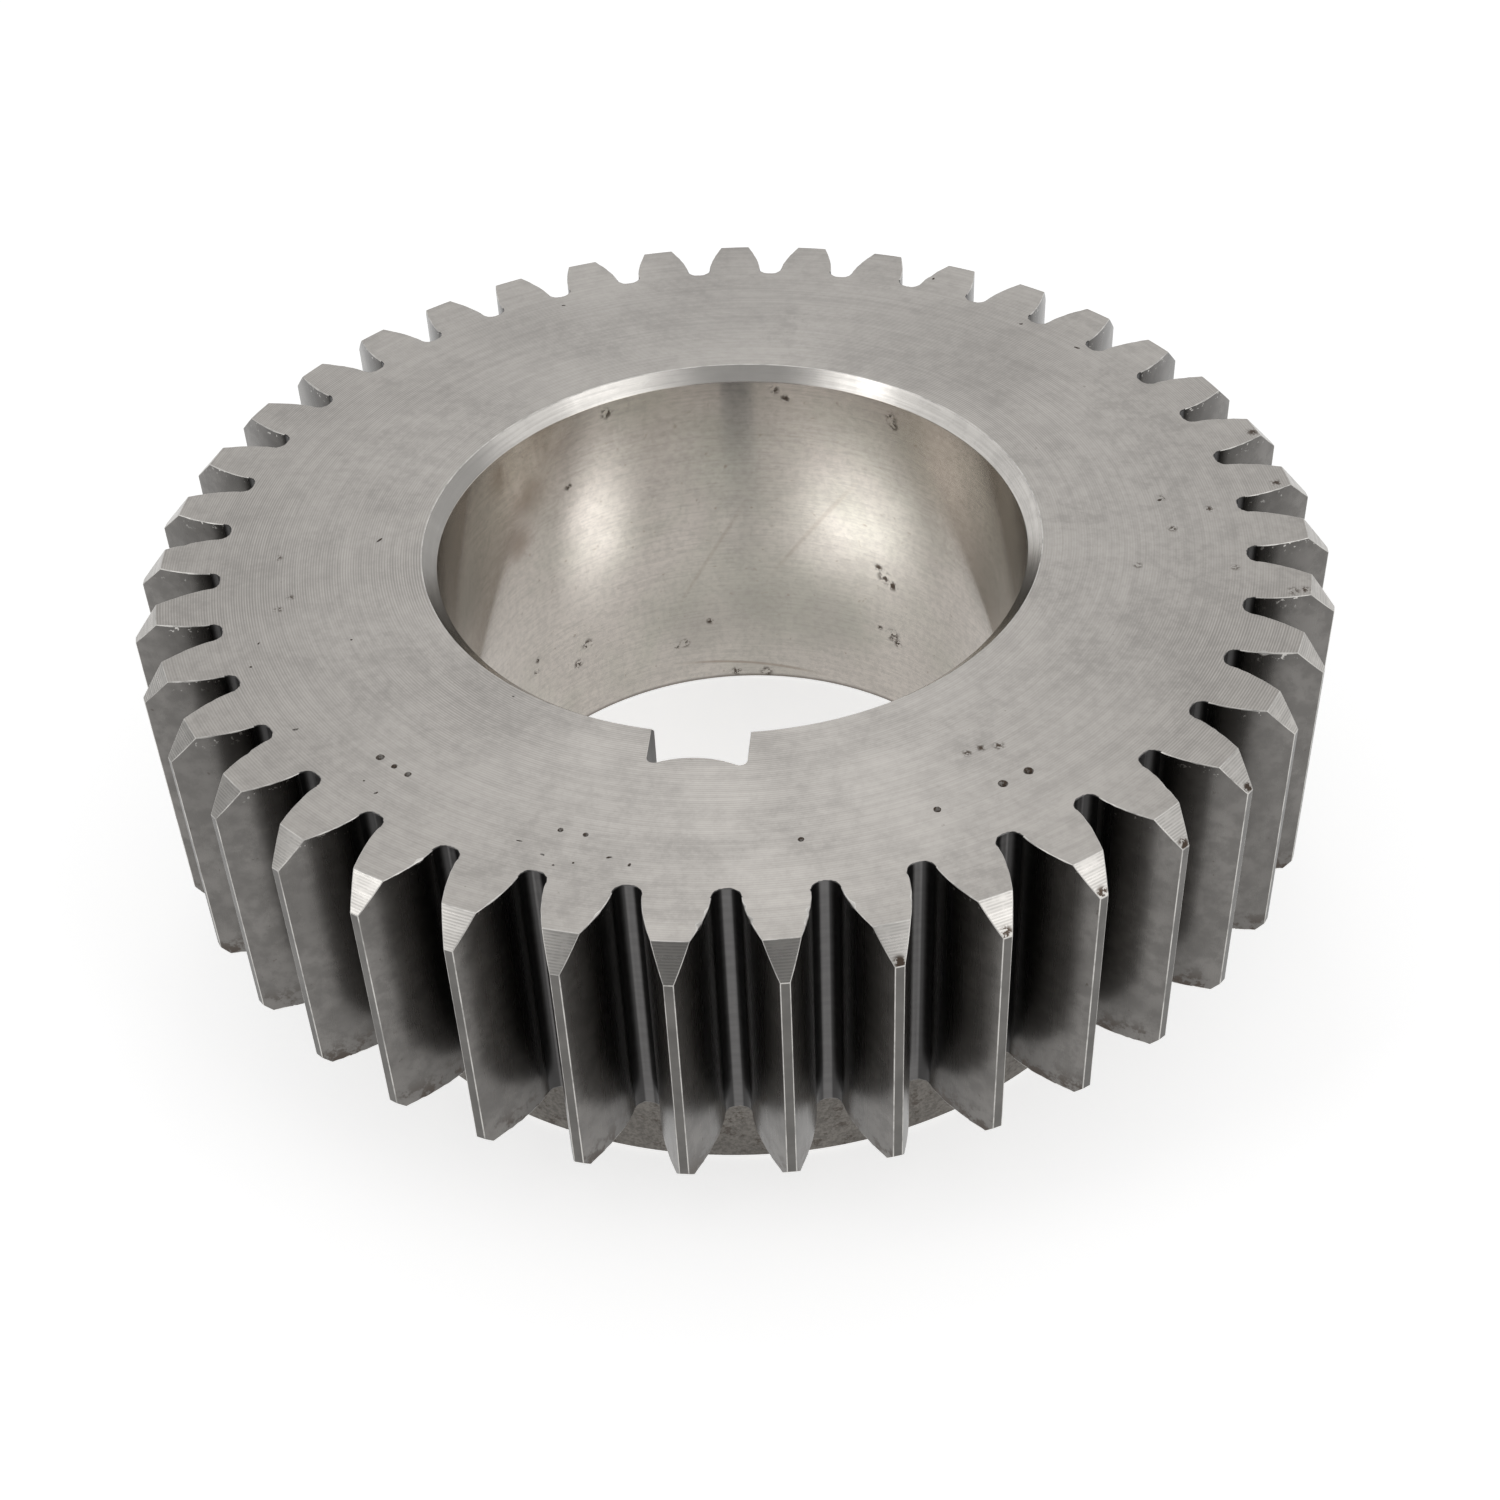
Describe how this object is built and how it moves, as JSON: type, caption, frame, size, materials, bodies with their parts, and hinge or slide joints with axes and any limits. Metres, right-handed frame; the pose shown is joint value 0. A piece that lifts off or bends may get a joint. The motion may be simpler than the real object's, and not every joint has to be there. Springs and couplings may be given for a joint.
{
  "type": "transmission gear",
  "caption": "Straight spur gear for a heavy transmission, forged with its hub, with a keyed bore and chamfered tooth ends.",
  "frame": {"origin": "centre of the bore, in the plane of the hub's foot", "axes": "+Z along the bore from the hub's foot to the toothed face; -Y through the keyway and the middle of a tooth"},
  "size_m": [0.1776, 0.1776, 0.0653],
  "materials": {
    "steel": "case-hardened steel: fine-turned face and chamfers, ground bore and flanks, dark forged hub"
  },
  "bodies": {
    "root": {"gear": "steel"}
  },
  "joints": []
}
